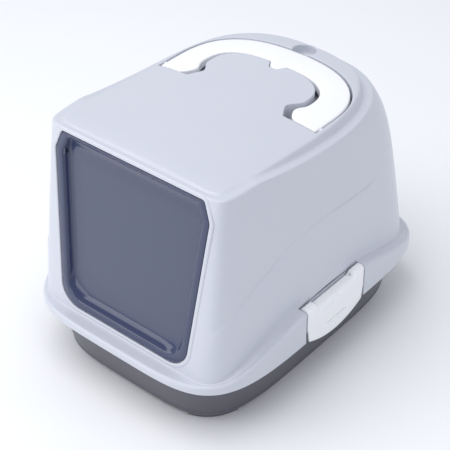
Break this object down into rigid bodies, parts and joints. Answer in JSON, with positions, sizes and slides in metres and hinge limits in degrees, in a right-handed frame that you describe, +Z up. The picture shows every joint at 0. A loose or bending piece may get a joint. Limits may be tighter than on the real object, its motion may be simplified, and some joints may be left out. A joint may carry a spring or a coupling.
{
  "type": "hooded cat litter box",
  "caption": "Cat litter tray with a tapered lift-off hood, a top-hung translucent swing door, a fold-down carrying handle, side clips and a roof filter.",
  "frame": {"origin": "centre of the footprint, on the floor", "axes": "+Z up, +Y towards the back, the door faces -Y, +X to the right seen from the front"},
  "size_m": [0.387, 0.502, 0.373],
  "materials": {
    "hood": "satin moulded plastic, pale blue-grey",
    "white_plastic": "satin moulded plastic, white",
    "tray": "satin moulded plastic, dark grey",
    "tinted_door": "glossy translucent tinted plastic, navy grey",
    "door_pivot": "glossy plastic, navy",
    "pin": "plain plastic, light grey",
    "carbon": "carbon-loaded fibre pad, black",
    "grille": "moulded plastic, pale grey"
  },
  "bodies": {
    "tray": {"tray": "tray"},
    "hood": {"hood": "hood", "clip_pins_left": "pin", "clip_pins_right": "pin"},
    "door": {"door": "tinted_door", "door_pivot_left": "door_pivot", "door_pivot_right": "door_pivot"},
    "handle": {"handle": "white_plastic", "handle_pivot_left": "pin", "handle_pivot_right": "pin"},
    "clip_left": {"clip_left": "white_plastic"},
    "clip_right": {"clip_right": "white_plastic"},
    "filter": {"filter_pad": "carbon", "filter_grille": "grille"}
  },
  "joints": [
    {"name": "hood_lift", "type": "slide", "parent": "tray", "child": "hood", "axis": [0, 0, 1], "range_m": [0, 0.12]},
    {"name": "door_swing", "type": "hinge", "parent": "hood", "child": "door", "pos_m": [0, -0.18886, 0.33252], "axis": [-1, 0, 0], "range_deg": [0, 100]},
    {"name": "handle_fold", "type": "hinge", "parent": "hood", "child": "handle", "pos_m": [0, 0.026, 0.36], "axis": [1, 0, 0], "range_deg": [0, 95]},
    {"name": "clip_left_swing", "type": "hinge", "parent": "hood", "child": "clip_left", "pos_m": [-0.184, 0, 0.13376], "axis": [0, 1, 0], "range_deg": [0, 100]},
    {"name": "clip_right_swing", "type": "hinge", "parent": "hood", "child": "clip_right", "pos_m": [0.184, 0, 0.13376], "axis": [0, -1, 0], "range_deg": [0, 100]},
    {"name": "filter_drop", "type": "slide", "parent": "hood", "child": "filter", "axis": [0, 0, -1], "range_m": [0, 0.15]}
  ]
}
